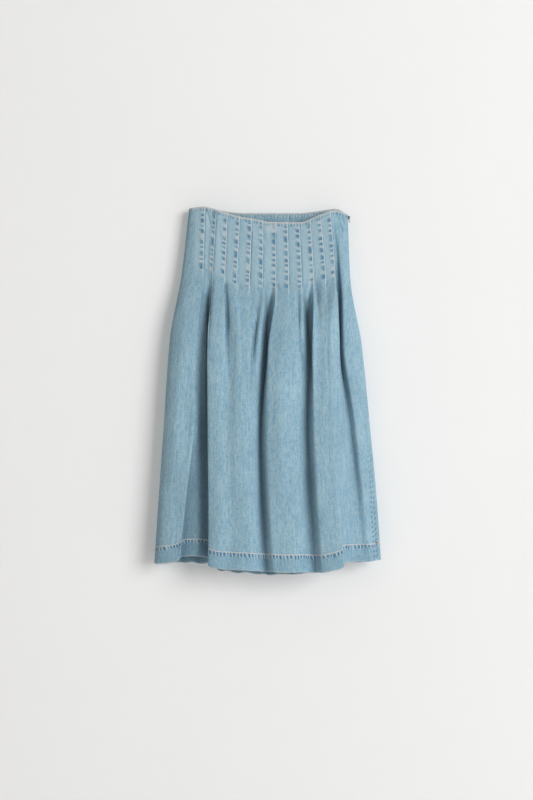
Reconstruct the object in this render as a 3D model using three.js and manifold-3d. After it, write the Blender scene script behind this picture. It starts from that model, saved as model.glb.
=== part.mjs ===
// Pleated denim skirt, hanging from its back waist, open at the waist and at the hem.
// Millimetres, +Z up, the front faces -Y. The origin is midway between the two held points of the
// back waist edge. Twelve tucks are stitched flat under the waist and open into loose pleats.

import * as THREE from "three";
import { mergeVertices } from "three/addons/utils/BufferGeometryUtils.js";
import Module from "manifold-3d";

const wasm = await Module();
wasm.setup();

// ---- Driving sizes ----

const cloth = { thickness: 1.2, seamGap: 0.3 };
const hemDepth = 38;
const facingDepth = 33;
const skirtLength = 806;
const zip = { length: 185, opening: 7, tapeThickness: 0.8, tapeReach: 3, taper: 0.02 };
const tuck = { foot: 1.3, backWaist: 1.5, backFoot: 1 };
const facet = { width: 13, most: 4, footWidth: 26, wideLevel: 0.3, arc: 4 };
const slider = {
  width: 6, height: 8.5, thickness: 3, lift: 0.8, top: -15.2,
  corner: 1.4, bridgeWidth: 1.4, bridgeHeight: 4.6, bridgeReach: 3, bridgeRoot: 1, bridgeCorner: 0.9,
  hole: 0.95, holeReach: 1.4, holeDrop: 0.42,
};
const pull = {
  length: 13, width: 4.6, thickness: 1, corner: 1.2, bar: 0.9, window: [2.2, 3], windowCorner: 0.5,
};
const colours = { denim: 0xa0bbc8, inside: 0xb4c4cc, tape: 0x5c7f95, metal: 0x6b6a66 };

// ---- Levels and lines ----

// The levels at which every line is given: waist, end of the tucks, knee, middle, hem, as fractions
// of the way down. The pleats open fast below the tucks, so depths reach their knee value sooner.
const levelsAcross = [0, 0.19, 0.37, 0.62, 1];
const levelsDeep = [0, 0.19, 0.3, 0.62, 1];

// Each line runs down the cloth. x is how far across and out how far forward of the origin, at the
// five levels; hem is the height of its lower end. Lines follow each other from the viewer's left.
const frontLines = [
  { name: "seamL", x: [-182, -199, -225, -239, -260], out: [4, 8, 14, 17, 19], hem: -806 },
  { name: "turnL", x: [-177, -194, -219, -233, -252], out: [11, 17, 27, 34, 38], hem: -804 },
  { name: "puffL", x: [-160, -172, -192, -206, -224], out: [17, 26, 40, 48, 52], hem: -800 },
  { name: "tuck1", x: [-145, -149, -164, -173, -201], out: [21, 28, 42, 48, 60], hem: -792, foot: true },
  { name: "inlet", x: [-144, -148, -159, -167, -198], out: [19, 26, 38, 42, 34], hem: -789 },
  { name: "recess", x: [-135, -140, -150, -156, -167], out: [19, 26, 32, 34, 40], hem: -787 },
  { name: "valleyA", x: [-127, -135, -138, -138, -138], out: [20, 27, 22, 24, 28], hem: -792 },
  { name: "underA", x: [-122, -130, -135.5, -134, -133], out: [22, 29, 36, 45, 54], hem: -797 },
  { name: "tuck2", x: [-119, -128, -138, -136, -135], out: [23, 31, 50, 62, 74], hem: -803 },
  { name: "tuck3", x: [-94, -100, -105, -111, -106], out: [24, 33, 56, 70, 82], hem: -810 },
  { name: "valleyB0", x: [-93, -99, -90, -91, -87], out: [21, 30, 49, 69, 82], hem: -811, foot: true },
  { name: "tuck4", x: [-66, -72, -69, -71, -69], out: [24, 33, 57, 72, 84], hem: -812 },
  { name: "foot4", x: [-65, -71, -61, -60, -58], out: [21, 30, 55, 72, 85], hem: -812, foot: true },
  { name: "tuck5", x: [-39, -44, -49, -49, -44], out: [24, 33, 55, 70, 85], hem: -813 },
  { name: "valleyB1", x: [-38, -43, -33, -35, -33], out: [21, 30, 45, 62, 82], hem: -814, foot: true },
  { name: "tuck6", x: [-13, -14, -24, -28, -25], out: [24, 33, 47, 56, 76], hem: -815 },
  { name: "valleyB", x: [-12, -9, -5, -19, -6], out: [21, 29, 24, 42, 62], hem: -818, foot: true },
  { name: "underB", x: [13, 13, 0, -13, 2], out: [23.6, 32, 40, 52, 73], hem: -817 },
  { name: "tuck7", x: [16, 16, -1, -4, 9], out: [24, 33, 56, 71, 86], hem: -815 },
  { name: "foot7", x: [17, 17.5, 9, 7, 17], out: [21, 30, 58, 74, 89], hem: -816, foot: true },
  { name: "tuck8", x: [42, 45, 33, 31, 37], out: [24, 33, 62, 78, 91], hem: -816 },
  { name: "foot8", x: [43, 46.5, 47, 44, 51], out: [21, 30, 61, 77, 91], hem: -816, foot: true },
  { name: "tuck9", x: [69, 74, 70, 64, 71], out: [24, 33, 55, 70, 88], hem: -816 },
  { name: "valleyC", x: [70, 78, 93, 88, 100], out: [21, 30, 23, 42, 67], hem: -820, foot: true },
  { name: "underC", x: [91, 98, 100, 94, 109], out: [23.6, 32, 41, 53, 77], hem: -818 },
  { name: "tuck10", x: [94, 101, 99, 102, 117], out: [24, 33, 58, 71, 87], hem: -817 },
  { name: "valleyC1", x: [95, 102.5, 110, 112, 125], out: [21, 30, 54.5, 72.5, 89.5], hem: -816, foot: true },
  { name: "tuck11", x: [117, 128, 123, 124, 137], out: [24, 33, 57, 74, 91], hem: -813 },
  { name: "foot11", x: [118, 129.5, 130, 131, 146], out: [21, 30, 58, 74, 91], hem: -811, foot: true },
  { name: "tuck12", x: [140, 149, 136, 139, 164], out: [22, 32, 60, 74, 90], hem: -805 },
  { name: "foot12", x: [141.3, 151, 153.5, 160, 168], out: [19, 28, 50, 62, 60], hem: -799, foot: true },
  { name: "valleyD", x: [149, 158, 160, 183, 213], out: [15, 22, 21, 31, 45], hem: -798 },
  { name: "puffR", x: [163, 168, 171, 196, 226], out: [14, 24, 36, 43, 46], hem: -798 },
  { name: "turnR", x: [173, 179, 203, 216, 234], out: [11, 17, 24, 33, 40], hem: -798 },
  { name: "seamR", x: [179, 185, 208, 223, 241], out: [4, 8, 15, 22, 32], hem: -797 },
];

// The back goes on from the right seam round to the left one.
const backTurnR = { name: "wrapR", x: [173, 181, 210, 230, 254], out: [-3, -1, 6, 10, 15], hem: -798 };
const backTurnL = { name: "wrapL", x: [-177, -195, -221, -235, -254], out: [-3, -1, 3, 4, 5], hem: -805 };

// One row for each tuck of the back: where its edge lies at the waist and at the hem, how far the
// open pleat stands back (ridge) and how far it dips in beside it (dip), both at the hem, how wide
// the dip is there, and how much lower than at the side seams the hem hangs (drop).
const backTucks = [
  { waist: 152, hem: 222, ridge: 10, dip: 5, width: 16, drop: 0 },
  { waist: 125, hem: 181, ridge: 15, dip: 7, width: 22, drop: 1 },
  { waist: 99, hem: 146, ridge: 12, dip: 2, width: 12, drop: 15 },
  { waist: 71, hem: 104, ridge: 16, dip: 8, width: 20, drop: 24 },
  { waist: 44, hem: 70, ridge: 13, dip: 4, width: 15, drop: 28 },
  { waist: 16, hem: 27, ridge: 17, dip: 8, width: 24, drop: 29 },
  { waist: -12, hem: -14, ridge: 12, dip: 1, width: 12, drop: 28 },
  { waist: -40, hem: -52, ridge: 15, dip: 7, width: 19, drop: 24.5 },
  { waist: -67, hem: -97, ridge: 14, dip: 3, width: 14, drop: 20.5 },
  { waist: -94, hem: -132, ridge: 17, dip: 8, width: 23, drop: 3 },
  { waist: -121, hem: -176, ridge: 12, dip: 4, width: 15, drop: 1 },
  { waist: -148, hem: -212, ridge: 14, dip: 6, width: 18, drop: 1 },
];
const backGrowth = { level: [0, 0.1, 0.62, 0.8, 1], across: [0, 0.12, 0.36, 0.62, 1] };
const backHem = { height: -805, ridgeShare: 0.1 };

// Waist edges: height against distance across. The front sags between the held points.
const frontWaist = {
  x: [-182, -150, -100, -66, -25, 0, 68, 115, 152, 179],
  z: [0, 2, -12, -21, -28, -33, -34, -17, -6, -13],
};
const backWaist = {
  x: [-182, -150, -125, -98, -57, 66, 108, 135, 155, 179],
  z: [0, 5, -1, -6, -10, -10, -6, -2, 0, -13],
};

// The rows of facets, closest where the tucks open and the zip ends.
const zipRows = [0, 0.042, 0.11, 0.19, 0.21, 0.235];
const bodyRows = [...zipRows, 0.29, 0.37, 0.47, 0.6, 0.78];
const hemTop = 1 - hemDepth / skirtLength;
const hemRows = [hemTop, 1];
const facingRows = [0, facingDepth / skirtLength];
const zipEnd = zip.length / skirtLength;

// ---- Curves ----

// Slopes that keep a curve through the given points from overshooting them.
function keptSlopes(at, value) {
  const last = at.length - 1;
  const rise = [];
  for (let i = 0; i < last; i += 1) rise.push((value[i + 1] - value[i]) / (at[i + 1] - at[i]));
  const slopes = [rise[0]];
  for (let i = 1; i < last; i += 1) {
    const turns = rise[i - 1] * rise[i] <= 0;
    slopes.push(turns ? 0 : (2 * rise[i - 1] * rise[i]) / (rise[i - 1] + rise[i]));
  }
  slopes.push(rise[last - 1]);
  return slopes;
}

function curveAt(at, value, slopes, where) {
  let i = 0;
  while (i < at.length - 2 && where > at[i + 1]) i += 1;
  const span = at[i + 1] - at[i];
  const t = Math.min(1, Math.max(0, (where - at[i]) / span));
  const t2 = t * t;
  const t3 = t2 * t;
  return (
    (2 * t3 - 3 * t2 + 1) * value[i] + (t3 - 2 * t2 + t) * span * slopes[i] +
    (3 * t2 - 2 * t3) * value[i + 1] + (t3 - t2) * span * slopes[i + 1]
  );
}

function through(at, value, where) {
  return curveAt(at, value, keptSlopes(at, value), where);
}

// ---- The cloth as a tube of lines ----

function linePoint(line, v) {
  return { x: through(levelsAcross, line.x, v), out: through(levelsDeep, line.out, v) };
}

// The two edges of the right seam stand apart over the zip and meet below it.
function seamOpening(v) {
  const closing = Math.min(1, Math.max(0, (zipEnd - v) / zip.taper));
  return cloth.seamGap + (zip.opening - cloth.seamGap) * closing * closing * (3 - 2 * closing);
}

const seams = {
  right: { line: frontLines.at(-1), before: frontLines.at(-2), after: backTurnR, gap: seamOpening },
  left: { line: frontLines[0], before: backTurnL, after: frontLines[1], gap: () => cloth.seamGap },
};

// Where a seam lies at a level, the way round the tube there, and the way out of the cloth.
function seamFrame(seam, v) {
  const centre = linePoint(seam.line, v);
  const from = linePoint(seam.before, v);
  const to = linePoint(seam.after, v);
  const length = Math.hypot(to.x - from.x, to.out - from.out);
  const along = { x: (to.x - from.x) / length, out: (to.out - from.out) / length };
  return { centre, along, normal: new THREE.Vector3(-along.out, -along.x, 0) };
}

function seamPoint(seam, v, side) {
  const { centre, along } = seamFrame(seam, v);
  const shift = (side * seam.gap(v)) / 2;
  return { x: centre.x + along.x * shift, out: centre.out + along.out * shift };
}

// A back line from a value at the waist to one at the hem.
function grown(waist, hem, growth) {
  return growth.map((share) => waist + (hem - waist) * share);
}

function backLines() {
  const lines = [backTurnR];
  for (const row of backTucks) {
    const edge = grown(row.waist, row.hem, backGrowth.across);
    const ridge = grown(-tuck.backWaist, -row.ridge, backGrowth.level);
    const foot = grown(row.waist - tuck.foot, row.hem - row.width, backGrowth.across);
    foot[1] = edge[1] - tuck.foot;
    const dip = grown(tuck.backFoot, row.dip, backGrowth.level);
    const hem = backHem.height - row.drop;
    lines.push({ x: edge, out: ridge, hem: hem - row.ridge * backHem.ridgeShare });
    lines.push({ x: foot, out: dip, hem, foot: true });
  }
  lines.push(backTurnL);
  return lines;
}

const sides = {
  front: { lines: frontLines.slice(1, -1), start: seams.left, end: seams.right, waist: frontWaist },
  back: { lines: backLines(), start: seams.right, end: seams.left, waist: backWaist },
};

// The section of one side at a level: its points, with the distance along the cloth to each.
function sectionAt(side, v) {
  const points = [seamPoint(side.start, v, 1)];
  for (const line of side.lines) points.push(linePoint(line, v));
  points.push(seamPoint(side.end, v, -1));
  const along = [0];
  for (let i = 1; i < points.length; i += 1) {
    const step = Math.hypot(points[i].x - points[i - 1].x, points[i].out - points[i - 1].out);
    along.push(along[i - 1] + step);
  }
  const x = points.map((point) => point.x);
  const out = points.map((point) => point.out);
  return { along, x, out, xSlopes: keptSlopes(along, x), outSlopes: keptSlopes(along, out) };
}

// How many facets each span between two lines takes; the step at a tuck takes one.
function spanFacets(side) {
  const wide = sectionAt(side, facet.wideLevel);
  const hem = sectionAt(side, 1);
  return wide.along.slice(1).map((end, i) => {
    const widest = Math.max(end - wide.along[i], hem.along[i + 1] - hem.along[i]);
    const foot = side.lines[i] && side.lines[i].foot;
    if (foot) return 1 + Math.round(widest / facet.footWidth);
    return Math.min(facet.most, Math.ceil(widest / facet.width));
  });
}

// A grid of points and outward normals over one side of the skirt, a row for each level.
function clothGrid(side, levels) {
  const facets = spanFacets(side);
  const stops = [[0, 0]];
  facets.forEach((count, span) => {
    for (let k = 1; k <= count; k += 1) stops.push([span, k / count]);
  });
  const hems = [side.start.line.hem, ...side.lines.map((line) => line.hem), side.end.line.hem];
  const spot = (section, values, slopes, [span, t]) => {
    const where = section.along[span] + t * (section.along[span + 1] - section.along[span]);
    return curveAt(section.along, values, slopes, where);
  };
  const waist = sectionAt(side, 0);
  const hem = sectionAt(side, 1);
  const hemSlopes = keptSlopes(hem.along, hems);
  const edges = stops.map((stop) => {
    const top = through(side.waist.x, side.waist.z, spot(waist, waist.x, waist.xSlopes, stop));
    return { top, bottom: spot(hem, hems, hemSlopes, stop) };
  });
  const points = levels.map((v) => {
    const section = sectionAt(side, v);
    return stops.map((stop, i) => new THREE.Vector3(
      spot(section, section.x, section.xSlopes, stop),
      -spot(section, section.out, section.outSlopes, stop),
      edges[i].top + (edges[i].bottom - edges[i].top) * v,
    ));
  });
  return { points, normals: gridNormals(side, levels, points) };
}

function gridNormals(side, levels, points) {
  const lastRow = points.length - 1;
  const lastColumn = points[0].length - 1;
  return points.map((row, j) => row.map((point, i) => {
    if (i === 0) return seamFrame(side.start, levels[j]).normal;
    if (i === lastColumn) return seamFrame(side.end, levels[j]).normal;
    const across = new THREE.Vector3().subVectors(row[i + 1], row[i - 1]);
    const above = points[Math.max(0, j - 1)][i];
    const below = points[Math.min(lastRow, j + 1)][i];
    const down = new THREE.Vector3().subVectors(below, above);
    return down.cross(across).normalize();
  }));
}

// ---- Walls ----

// A closed wall between two distances from a grid, measured outwards along its normals.
function wall(grid, outer, inner) {
  const rows = grid.points.length;
  const columns = grid.points[0].length;
  const positions = [];
  for (const distance of [outer, inner]) {
    for (let j = 0; j < rows; j += 1) {
      for (let i = 0; i < columns; i += 1) {
        const moved = grid.points[j][i].clone().addScaledVector(grid.normals[j][i], distance);
        positions.push(moved.x, moved.y, moved.z);
      }
    }
  }
  const at = (layer, j, i) => (layer * rows + j) * columns + i;
  const index = [];
  const quad = (a, b, c, d) => index.push(a, b, c, a, c, d);
  for (let j = 0; j < rows - 1; j += 1) {
    for (let i = 0; i < columns - 1; i += 1) {
      quad(at(0, j, i), at(0, j + 1, i), at(0, j + 1, i + 1), at(0, j, i + 1));
      quad(at(1, j, i), at(1, j, i + 1), at(1, j + 1, i + 1), at(1, j + 1, i));
    }
    quad(at(0, j, 0), at(1, j, 0), at(1, j + 1, 0), at(0, j + 1, 0));
    const e = columns - 1;
    quad(at(0, j, e), at(0, j + 1, e), at(1, j + 1, e), at(1, j, e));
  }
  for (let i = 0; i < columns - 1; i += 1) {
    const e = rows - 1;
    quad(at(0, 0, i), at(0, 0, i + 1), at(1, 0, i + 1), at(1, 0, i));
    quad(at(0, e, i), at(1, e, i), at(1, e, i + 1), at(0, e, i + 1));
  }
  return meshGeometry(positions, index);
}

function meshGeometry(positions, index) {
  const geometry = new THREE.BufferGeometry();
  geometry.setAttribute("position", new THREE.Float32BufferAttribute(positions, 3));
  geometry.setIndex(index);
  geometry.computeVertexNormals();
  return geometry;
}

function layer(grid, depth, thickness) {
  return wall(grid, -depth + thickness / 2, -depth - thickness / 2);
}

const nextLayer = cloth.thickness + cloth.seamGap;

// The tape follows both edges of the right seam on the inside, and crosses the opening between.
function tapeGrid() {
  const front = clothGrid(sides.front, zipRows);
  const back = clothGrid(sides.back, zipRows);
  const join = (before, after) => before.map((row, j) => [
    ...row.slice(-zip.tapeReach), ...after[j].slice(0, zip.tapeReach),
  ]);
  return { points: join(front.points, back.points), normals: join(front.normals, back.normals) };
}

// The facing of the back waist ends where the tape begins.
function facingGrid() {
  const { points, normals } = clothGrid(sides.back, facingRows);
  const clear = (rows) => rows.map((row) => row.slice(zip.tapeReach));
  return { points: clear(points), normals: clear(normals) };
}

// ---- Zip slider and pull ----

function toSolid(geometry) {
  const bare = geometry.clone();
  for (const name of ["normal", "uv"]) bare.deleteAttribute(name);
  const merged = mergeVertices(bare, 1e-4);
  return new wasm.Manifold(new wasm.Mesh({
    numProp: 3,
    vertProperties: Float32Array.from(merged.attributes.position.array),
    triVerts: Uint32Array.from(merged.index.array),
  }));
}

function fromSolid(solid) {
  const mesh = solid.getMesh();
  return meshGeometry(Array.from(mesh.vertProperties), Array.from(mesh.triVerts));
}

function roundedOutline(width, top, bottom, radius) {
  const shape = new THREE.Shape();
  const half = width / 2;
  shape.moveTo(-half + radius, bottom);
  shape.lineTo(half - radius, bottom);
  shape.absarc(half - radius, bottom + radius, radius, -Math.PI / 2, 0, false);
  shape.lineTo(half, top - radius);
  shape.absarc(half - radius, top - radius, radius, 0, Math.PI / 2, false);
  shape.lineTo(-half + radius, top);
  shape.absarc(-half + radius, top - radius, radius, Math.PI / 2, Math.PI, false);
  shape.lineTo(-half, bottom + radius);
  shape.absarc(-half + radius, bottom + radius, radius, Math.PI, 1.5 * Math.PI, false);
  return shape;
}

// Turns a plate drawn in the XY plane so that its width lies along Y, its height along Z and its
// thickness along X.
function standing(geometry) {
  return geometry.rotateX(Math.PI / 2).rotateZ(Math.PI / 2);
}

const zipSeam = seamFrame(seams.right, -slider.top / skirtLength).centre;
const sliderFace = zipSeam.x - slider.lift;
const pivot = new THREE.Vector3(
  sliderFace + slider.thickness + slider.holeReach, -zipSeam.out,
  slider.top - slider.height * slider.holeDrop,
);

function sliderGeometry() {
  const outline = roundedOutline(slider.width, slider.top, slider.top - slider.height, slider.corner);
  const plate = new THREE.ExtrudeGeometry(outline, {
    depth: slider.thickness, bevelEnabled: false, curveSegments: facet.arc,
  });
  standing(plate).translate(sliderFace, pivot.y, 0);
  const arch = roundedOutline(
    slider.bridgeHeight, slider.bridgeReach, -slider.bridgeRoot, slider.bridgeCorner,
  );
  const hole = new THREE.Path();
  hole.absarc(0, slider.holeReach, slider.hole, 0, 2 * Math.PI, true);
  arch.holes.push(hole);
  const bridge = new THREE.ExtrudeGeometry(arch, {
    depth: slider.bridgeWidth, bevelEnabled: false, curveSegments: facet.arc,
  });
  bridge.translate(0, 0, -slider.bridgeWidth / 2).rotateX(Math.PI / 2).rotateY(Math.PI / 2);
  bridge.translate(sliderFace + slider.thickness, pivot.y, pivot.z);
  return fromSolid(toSolid(plate).add(toSolid(bridge)));
}

function pullGeometry() {
  const top = pull.bar / 2;
  const outline = roundedOutline(pull.width, top, top - pull.length, pull.corner);
  const [wide, tall] = pull.window;
  outline.holes.push(roundedOutline(wide, -top, -top - tall, pull.windowCorner));
  const plate = new THREE.ExtrudeGeometry(outline, {
    depth: pull.thickness, bevelEnabled: false, curveSegments: facet.arc,
  });
  standing(plate).translate(pivot.x - pull.thickness / 2, pivot.y, pivot.z);
  return plate;
}

// ---- The skirt ----

function finish(colour, roughness, metalness) {
  return new THREE.MeshStandardMaterial({ color: colour, roughness, metalness });
}

const materials = {
  denim: finish(colours.denim, 0.9, 0),
  inside: finish(colours.inside, 0.92, 0),
  tape: finish(colours.tape, 0.85, 0),
  metal: finish(colours.metal, 0.35, 1),
};

const frontGrid = clothGrid(sides.front, [...bodyRows, ...hemRows]);
const backGrid = clothGrid(sides.back, [...bodyRows, ...hemRows]);

const pieces = [
  ["front_panel", layer(frontGrid, 0, cloth.thickness), materials.denim],
  ["back_panel", layer(backGrid, 0, cloth.thickness), materials.denim],
  ["front_hem", layer(clothGrid(sides.front, hemRows), nextLayer, cloth.thickness), materials.inside],
  ["back_hem", layer(clothGrid(sides.back, hemRows), nextLayer, cloth.thickness), materials.inside],
  ["back_facing", layer(facingGrid(), nextLayer, cloth.thickness), materials.inside],
  ["zip_tape", layer(tapeGrid(), nextLayer, zip.tapeThickness), materials.tape],
  ["zip_slider", sliderGeometry(), materials.metal],
  ["zip_pull", pullGeometry(), materials.metal],
];

const skirt = new THREE.Group();
for (const [name, geometry, material] of pieces) {
  const mesh = new THREE.Mesh(geometry, material);
  mesh.name = name;
  skirt.add(mesh);
}

export default skirt;
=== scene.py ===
import math

import bpy
import numpy as np
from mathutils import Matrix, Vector


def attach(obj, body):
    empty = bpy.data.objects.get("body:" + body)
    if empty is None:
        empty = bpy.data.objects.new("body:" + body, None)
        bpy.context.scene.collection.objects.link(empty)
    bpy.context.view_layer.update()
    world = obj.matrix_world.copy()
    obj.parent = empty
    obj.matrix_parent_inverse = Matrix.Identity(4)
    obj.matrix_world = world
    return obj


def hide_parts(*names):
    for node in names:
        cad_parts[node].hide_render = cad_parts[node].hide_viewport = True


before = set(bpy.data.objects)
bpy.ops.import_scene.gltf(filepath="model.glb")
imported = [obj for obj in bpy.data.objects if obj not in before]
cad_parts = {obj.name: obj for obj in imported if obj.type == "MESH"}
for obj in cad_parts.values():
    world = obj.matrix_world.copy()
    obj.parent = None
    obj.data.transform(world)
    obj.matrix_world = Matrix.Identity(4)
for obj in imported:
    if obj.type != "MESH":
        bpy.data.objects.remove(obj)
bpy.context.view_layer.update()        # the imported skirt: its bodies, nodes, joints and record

mm = 0.001

# The skirt's cloth, in millimetres as the pattern cutter has them.
clothSizes = {
    "thickness": 1.2, "seamGap": 0.3, "length": 806, "hemDepth": 38, "facingDepth": 33,
    "zipLength": 185, "zipOpening": 7, "zipTaper": 0.02,
    "tuckFoot": 1.3, "backWaistStep": 1.5, "backFootStep": 1.0,
    "backHem": -805, "ridgeShare": 0.1,
    "columnWidth": 2.6, "fewest": 3, "most": 22,
}
nextLayer = clothSizes["thickness"] + clothSizes["seamGap"]
rollAngles = np.radians((45, 90, 135, 180))  # steps of an edge that turns in

# Levels down the cloth at which each line is given: waist, tuck ends, knee, middle, hem.
levelsAcross = (0, 0.19, 0.37, 0.62, 1)
levelsDeep = (0, 0.19, 0.3, 0.62, 1)

# A line's name, how far across it lies at the five levels, how far forward, and its hem's height.
frontLines = [
    ("seamL", (-182, -199, -225, -239, -260), (4, 8, 14, 17, 19), -806),
    ("turnL", (-177, -194, -219, -233, -252), (11, 17, 27, 34, 38), -804),
    ("puffL", (-160, -172, -192, -206, -224), (17, 26, 40, 48, 52), -800),
    ("tuck1", (-145, -149, -164, -173, -201), (21, 28, 42, 48, 60), -792),
    ("inlet", (-144, -148, -159, -167, -198), (19, 26, 38, 42, 34), -789),
    ("recess", (-135, -140, -150, -156, -167), (19, 26, 32, 34, 40), -787),
    ("valleyA", (-127, -135, -138, -138, -138), (20, 27, 22, 24, 28), -792),
    ("underA", (-122, -130, -135.5, -134, -133), (22, 29, 36, 45, 54), -797),
    ("tuck2", (-119, -128, -138, -136, -135), (23, 31, 50, 62, 74), -803),
    ("tuck3", (-94, -100, -105, -111, -106), (24, 33, 56, 70, 82), -810),
    ("valleyB0", (-93, -99, -90, -91, -87), (21, 30, 49, 69, 82), -811),
    ("tuck4", (-66, -72, -69, -71, -69), (24, 33, 57, 72, 84), -812),
    ("foot4", (-65, -71, -61, -60, -58), (21, 30, 55, 72, 85), -812),
    ("tuck5", (-39, -44, -49, -49, -44), (24, 33, 55, 70, 85), -813),
    ("valleyB1", (-38, -43, -33, -35, -33), (21, 30, 45, 62, 82), -814),
    ("tuck6", (-13, -14, -24, -28, -25), (24, 33, 47, 56, 76), -815),
    ("valleyB", (-12, -9, -5, -19, -6), (21, 29, 24, 42, 62), -818),
    ("underB", (13, 13, 0, -13, 2), (23.6, 32, 40, 52, 73), -817),
    ("tuck7", (16, 16, -1, -4, 9), (24, 33, 56, 71, 86), -815),
    ("foot7", (17, 17.5, 9, 7, 17), (21, 30, 58, 74, 89), -816),
    ("tuck8", (42, 45, 33, 31, 37), (24, 33, 62, 78, 91), -816),
    ("foot8", (43, 46.5, 47, 44, 51), (21, 30, 61, 77, 91), -816),
    ("tuck9", (69, 74, 70, 64, 71), (24, 33, 55, 70, 88), -816),
    ("valleyC", (70, 78, 93, 88, 100), (21, 30, 23, 42, 67), -820),
    ("underC", (91, 98, 100, 94, 109), (23.6, 32, 41, 53, 77), -818),
    ("tuck10", (94, 101, 99, 102, 117), (24, 33, 58, 71, 87), -817),
    ("valleyC1", (95, 102.5, 110, 112, 125), (21, 30, 54.5, 72.5, 89.5), -816),
    ("tuck11", (117, 128, 123, 124, 137), (24, 33, 57, 74, 91), -813),
    ("foot11", (118, 129.5, 130, 131, 146), (21, 30, 58, 74, 91), -811),
    ("tuck12", (140, 149, 136, 139, 164), (22, 32, 60, 74, 90), -805),
    ("foot12", (141.3, 151, 153.5, 160, 168), (19, 28, 50, 62, 60), -799),
    ("valleyD", (149, 158, 160, 183, 213), (15, 22, 21, 31, 45), -798),
    ("puffR", (163, 168, 171, 196, 226), (14, 24, 36, 43, 46), -798),
    ("turnR", (173, 179, 203, 216, 234), (11, 17, 24, 33, 40), -798),
    ("seamR", (179, 185, 208, 223, 241), (4, 8, 15, 22, 32), -797),
]
backTurnR = ("wrapR", (173, 181, 210, 230, 254), (-3, -1, 6, 10, 15), -798)
backTurnL = ("wrapL", (-177, -195, -221, -235, -254), (-3, -1, 3, 4, 5), -805)

# A back tuck's place at the waist and at the hem, its ridge, its dip and the dip's width there, and
# how much lower than at the side seams the hem hangs.
backTucks = [
    (152, 222, 10, 5, 16, 0), (125, 181, 15, 7, 22, 1), (99, 146, 12, 2, 12, 15),
    (71, 104, 16, 8, 20, 24), (44, 70, 13, 4, 15, 28), (16, 27, 17, 8, 24, 29),
    (-12, -14, 12, 1, 12, 28), (-40, -52, 15, 7, 19, 24.5), (-67, -97, 14, 3, 14, 20.5),
    (-94, -132, 17, 8, 23, 3), (-121, -176, 12, 4, 15, 1), (-148, -212, 14, 6, 18, 1),
]
growthDeep = np.array((0, 0.1, 0.62, 0.8, 1))
growthAcross = np.array((0, 0.12, 0.36, 0.62, 1))

# Waist edges: distance across, and height there.
frontWaist = (
    (-182, -150, -100, -66, -25, 0, 68, 115, 152, 179), (0, 2, -12, -21, -28, -33, -34, -17, -6, -13),
)
backWaist = (
    (-182, -150, -125, -98, -57, 66, 108, 135, 155, 179), (0, 5, -1, -6, -10, -10, -6, -2, 0, -13),
)

# How far each tuck is stitched down, from the viewer's left.
frontTuckEnds = (145, 142, 147, 157, 156, 152, 152, 150, 150, 143, 147, 150)
backTuckEnds = (150, 146, 152, 148, 155, 151, 147, 154, 149, 146, 152, 148)


def keptSlopes(at, value):  # slopes that keep a curve from overshooting its points
    rise = np.diff(value) / np.diff(at)
    turns = rise[:-1] * rise[1:] <= 0
    total = np.where(turns, 1, rise[:-1] + rise[1:])
    inner = np.where(turns, 0, 2 * rise[:-1] * rise[1:] / total)
    return np.concatenate(([rise[0]], inner, [rise[-1]]))


def curveAt(at, value, where):
    at, value = np.asarray(at, float), np.asarray(value, float)
    where = np.atleast_1d(np.asarray(where, float))
    slopes = keptSlopes(at, value)
    i = np.clip(np.searchsorted(at, where, side="left") - 1, 0, len(at) - 2)
    span = at[i + 1] - at[i]
    t = np.clip((where - at[i]) / span, 0, 1)
    start = (2 * t**3 - 3 * t**2 + 1) * value[i] + (t**3 - 2 * t**2 + t) * span * slopes[i]
    end = (3 * t**2 - 2 * t**3) * value[i + 1] + (t**3 - t**2) * span * slopes[i + 1]
    return start + end


def smooth(low, high, x):
    t = np.clip((x - low) / (high - low), 0, 1)
    return t * t * (3 - 2 * t)


def linePoint(line, v):
    return np.array((curveAt(levelsAcross, line[1], v)[0], curveAt(levelsDeep, line[2], v)[0]))


def zipGap(v):
    s = clothSizes
    closing = (s["zipLength"] / s["length"] - v) / s["zipTaper"]
    return s["seamGap"] + (s["zipOpening"] - s["seamGap"]) * smooth(0, 1, closing)


seams = {
    "right": {"line": frontLines[-1], "before": frontLines[-2], "after": backTurnR, "gap": zipGap},
    "left": {
        "line": frontLines[0], "before": backTurnL, "after": frontLines[1],
        "gap": lambda v: clothSizes["seamGap"],
    },
}


def seamFrame(seam, v):  # where a seam lies at a level, and the way round the tube there
    along = linePoint(seam["after"], v) - linePoint(seam["before"], v)
    return linePoint(seam["line"], v), along / np.hypot(*along)


def seamPoint(seam, v, side):
    centre, along = seamFrame(seam, v)
    return centre + along * side * seam["gap"](v) / 2


def backLines():
    s = clothSizes
    lines = [backTurnR]
    for waist, hem, ridge, dip, width, drop in backTucks:
        edge = waist + (hem - waist) * growthAcross
        foot = waist - s["tuckFoot"] + (hem - width - waist + s["tuckFoot"]) * growthAcross
        foot[1] = edge[1] - s["tuckFoot"]
        deep = -s["backWaistStep"] + (s["backWaistStep"] - ridge) * growthDeep
        shallow = s["backFootStep"] + (dip - s["backFootStep"]) * growthDeep
        bottom = s["backHem"] - drop
        lines.append(("tuck", edge, deep, bottom - ridge * s["ridgeShare"]))
        lines.append(("foot", foot, shallow, bottom))
    return lines + [backTurnL]


sides = {
    "front": {
        "lines": frontLines[1:-1], "start": seams["left"], "end": seams["right"],
        "waist": frontWaist, "tuckEnds": frontTuckEnds, "seed": 3,
    },
    "back": {
        "lines": backLines(), "start": seams["right"], "end": seams["left"],
        "waist": backWaist, "tuckEnds": backTuckEnds, "seed": 11,
    },
}


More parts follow.
